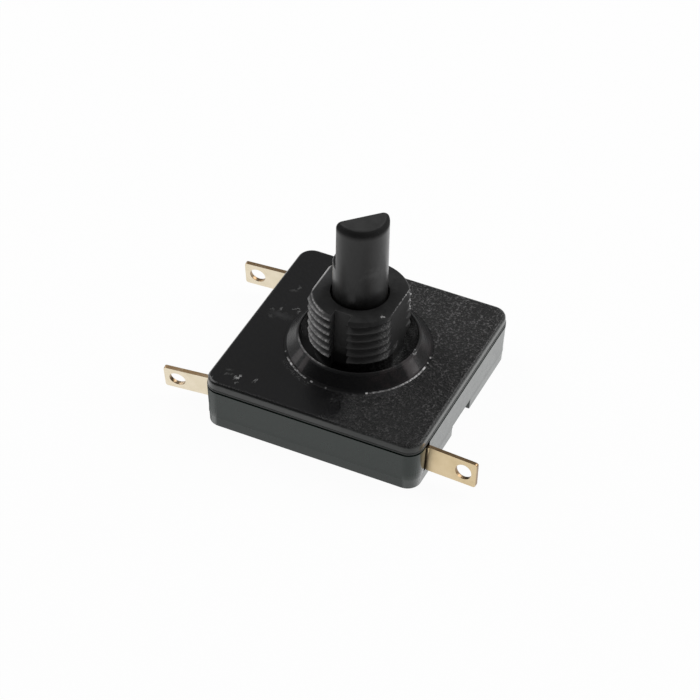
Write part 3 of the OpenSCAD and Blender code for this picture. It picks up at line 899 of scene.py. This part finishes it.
def shaft_material():
    """Dark grey plastic: paler end face, a painted shade on the rounded edge below it, and a pale rubbed
    patch above the bush.
    """
    patch_z, patch_reach = 19.4, 1.5
    patch_angle, patch_span = -41.0, 30.0
    g = Graph("rotor_plastic")
    clouds = g.ramp(g.noise(0.55, 3.0, 0.6, g.stretch(1.0, 1.0, 0.5)), 0.35, 0.7)
    end_face = g.ramp(g.z, SHAFT_TOP - 0.10, SHAFT_TOP - 0.01)
    # Painted shade: the rounded edge below the end face is painted darker.
    edge = g.times(g.ramp(g.z, SHAFT_TOP - 1.2, SHAFT_TOP - 0.6), g.invert(end_face))
    up = g.math("DIVIDE", g.math("SUBTRACT", g.z, patch_z), patch_reach)
    along = g.math("DIVIDE", g.math("SUBTRACT", g.angle, patch_angle), patch_span)
    patch = g.ramp(g.plus(g.hypot(up, along), g.times(g.noise(0.9, 4.0, 0.7), 2.4)), 2.0, 1.2)
    color = g.paint(g.mix(clouds, grey(0.006), grey(0.015)), [
        (g.times(patch, 0.6), grey(0.055)),
        (edge, grey(0.009)),
        (end_face, g.mix(clouds, grey(0.032), grey(0.046))),
    ])
    rough = g.roughen(g.ramp(g.noise(1.0, 3.0, 0.6), 0.3, 0.7, 0.34, 0.46), [(edge, 0.35)])
    normal = g.bump(g.noise(4.0, 3.0, 0.6), 0.2, 0.02)
    gloss = g.ramp(g.z, SHAFT_TOP - 1.2, SHAFT_TOP - 0.6, 0.8, 0.0)
    return g.plastic(color, rough, normal, ior=1.3, coat=gloss, coat_rough=0.3)


def rolled_metal(g, color, rough_lo, rough_hi):
    """Metal sheet with fine rolling lines along x."""
    lines = g.noise(4.0, 3.0, 0.6, g.stretch(0.4, 6.0, 6.0))
    rough = g.ramp(lines, 0.3, 0.7, rough_lo, rough_hi)
    return g.surface(color, rough, g.bump(lines, 0.15, 0.01), metallic=1.0)


def metal_material(name, light, dark, rough_lo=0.25, rough_hi=0.4):
    g = Graph(name)
    stain = g.ramp(g.noise(0.7, 4.0, 0.6), 0.35, 0.7)
    return rolled_metal(g, g.mix(stain, light, dark), rough_lo, rough_hi)


def tag_material():
    """Brass, paler on the left tags, with painted shade on the sheet's cut edges and inside the wall's slot.
    """
    g = Graph("tag_brass")
    stain = g.noise(0.7, 4.0, 0.6)
    clouds = g.ramp(stain, 0.35, 0.7)
    right = g.mix(clouds, rgb(0.71, 0.575, 0.37), rgb(0.64, 0.51, 0.31))
    left = g.mix(clouds, rgb(0.82, 0.73, 0.57), rgb(0.76, 0.67, 0.50))
    towards_face = g.math("ABSOLUTE", g.split(g.facing)[1])
    # Painted shade: faces that don't look along y, the sheet's thin edges, are painted darker.
    shaded_edges = g.times(g.ramp(towards_face, 0.75, 0.5), g.ramp(stain, 0.2, 0.5, 0.6, 1.0))
    # Painted shade on the tags where they pass through the housing wall.
    slot_shade = g.window(g.math("ABSOLUTE", g.x), 12.6, 13.35, 0.4)
    color = g.paint(right, [
        (g.ramp(g.x, 2.0, -2.0), left),
        (shaded_edges, rgb(0.32, 0.215, 0.12)),
        (g.times(slot_shade, 0.8), rgb(0.10, 0.065, 0.035)),
    ])
    return rolled_metal(g, color, 0.3, 0.42)


def floor_material():
    """White paper for the camera and in reflections; it keeps a little of the part's shadow."""
    white_share = 0.96
    m = bpy.data.materials.new("floor_paper")
    m.use_nodes = True
    m.cycles.emission_sampling = "NONE"
    g = Nodes(m.node_tree)
    g.nt.nodes.clear()
    diffuse = g.node("ShaderNodeBsdfDiffuse")
    diffuse.inputs["Color"].default_value = grey(0.85)
    glow = g.node("ShaderNodeEmission")
    glow.inputs["Color"].default_value = grey(1.0)
    glow.inputs["Strength"].default_value = 1.0
    path = g.node("ShaderNodeLightPath").outputs
    seen = g.most(path["Is Camera Ray"], path["Is Glossy Ray"], path["Is Transmission Ray"])
    mix = g.node("ShaderNodeMixShader")
    g.put(mix.inputs[0], g.times(seen, white_share))
    g.put(mix.inputs[1], diffuse.outputs[0])
    g.put(mix.inputs[2], glow.outputs[0])
    g.put(g.node("ShaderNodeOutputMaterial").inputs[0], mix.outputs[0])
    return m


# ---------------------------------------------------------------- stage

def camera():
    yaw, pitch, roll = (math.radians(a) for a in (CAMERA_YAW, CAMERA_PITCH, CAMERA_ROLL))
    back = Vector((math.sin(yaw) * math.cos(pitch), -math.cos(yaw) * math.cos(pitch), math.sin(pitch)))
    level = Vector((math.cos(yaw), math.sin(yaw), 0))
    steep = back.cross(level)
    right = math.cos(roll) * level + math.sin(roll) * steep
    up = -math.sin(roll) * level + math.cos(roll) * steep
    eye = CAMERA_DISTANCE * back - SHIFT_RIGHT * right - SHIFT_UP * up + Vector((0, 0, BODY_H))
    data = bpy.data.cameras.new("camera")
    data.sensor_width = SENSOR_MM
    data.lens = FOCAL_PX * SENSOR_MM / FRAME_PX
    data.clip_start = 0.01
    data.clip_end = 20
    ob = link_object("camera", data)
    m = Matrix((right, up, back)).transposed().to_4x4()
    m.translation = eye * MM
    ob.matrix_world = m
    bpy.context.scene.camera = ob


def soft_box(name, azimuth, elevation, distance, width, height, radiance):
    """Rectangular lamp aimed at the part, in degrees and metres; radiance 1 looks white in a mirror."""
    a, e = math.radians(azimuth), math.radians(elevation)
    place = [distance * c for c in (math.cos(a) * math.cos(e), math.sin(a) * math.cos(e), math.sin(e))]
    data = bpy.data.lights.new(name, "AREA")
    data.shape = "RECTANGLE"
    data.size, data.size_y = width, height
    data.energy = radiance * math.pi * width * height
    ob = link_object(name, data)
    ob.location = place
    ob.rotation_euler = Vector([-c for c in place]).to_track_quat("-Z", "Y").to_euler()


def sky():
    """Dim room, a little lighter behind the part and to its right."""
    mean, slope = 0.16, (0.06, 0.11, 0.03)
    world = bpy.data.worlds.new("world")
    bpy.context.scene.world = world
    world.use_nodes = True
    g = Nodes(world.node_tree)
    direction = g.node("ShaderNodeTexCoord").outputs["Generated"]
    background = g.nt.nodes["Background"]
    background.inputs[0].default_value = grey(1.0)
    g.put(background.inputs[1], g.plus(g.vec("DOT_PRODUCT", direction, slope), mean))


def stage():
    reach, drop = 3000.0, 0.02  # half the floor's width, and how far it lies below the part
    corners = [(x * reach, y * reach, -drop) for x, y in ((-1, -1), (1, -1), (1, 1), (-1, 1))]
    floor = make_mesh("floor", corners, [(0, 1, 2, 3)])
    floor.data.materials.append(floor_material())
    sky()
    soft_box("left", 176, 43, 0.7, 0.5, 0.5, 2.8)
    soft_box("right", 48, 42, 0.7, 0.45, 0.45, 4.5)
    soft_box("left_wall", 178, 13, 0.8, 1.1, 0.36, 0.24)
    soft_box("left_low", 152, 9, 0.75, 0.26, 0.2, 1.4)
    soft_box("left_strip", -173, 14, 0.7, 0.13, 0.22, 0.8)
    soft_box("right_strip", 31, 19, 0.7, 0.15, 0.3, 1.1)
    bpy.context.scene.view_settings.view_transform = "Standard"


# ---------------------------------------------------------------- build

camera()
stage()

MATERIALS = {
    "cover_plastic": cover_material(),
    "base_plastic": base_material(),
    "rotor_plastic": shaft_material(),
    "tag_brass": tag_material(),
    "ring_brass": metal_material("ring_brass", rgb(0.78, 0.62, 0.34), rgb(0.7, 0.52, 0.28)),
    "blade_bronze": metal_material("blade_bronze", rgb(0.7, 0.48, 0.26), rgb(0.6, 0.4, 0.2)),
    "contact_silver": metal_material("contact_silver", rgb(0.82, 0.82, 0.8), rgb(0.7, 0.7, 0.68), 0.2, 0.35),
    "rivet_copper": metal_material("rivet_copper", rgb(0.7, 0.42, 0.25), rgb(0.6, 0.34, 0.2)),
    "spring_steel": metal_material("spring_steel", rgb(0.6, 0.62, 0.63), rgb(0.5, 0.52, 0.53), 0.2, 0.35),
}


def use_material(ob, slot):
    ob.data.materials.clear()
    ob.data.materials.append(MATERIALS[slot])


def place(ob, node, body, slot):
    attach(ob, body)
    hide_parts(node)
    use_material(ob, slot)


place(build_cover(), "cover", "housing", "cover_plastic")
place(build_rotor(), "rotor", "rotor", "rotor_plastic")
place(dressed("base_dressed", "base", 0.09), "base", "housing", "base_plastic")
for tag in ("terminal_common", "terminal_first", "terminal_second"):
    place(dressed(tag + "_tag", tag, 0.05), tag, "housing", "tag_brass")

for part in frame["record"]["subparts"]:
    use_material(NODES[part["node"]], part["material_slot"])
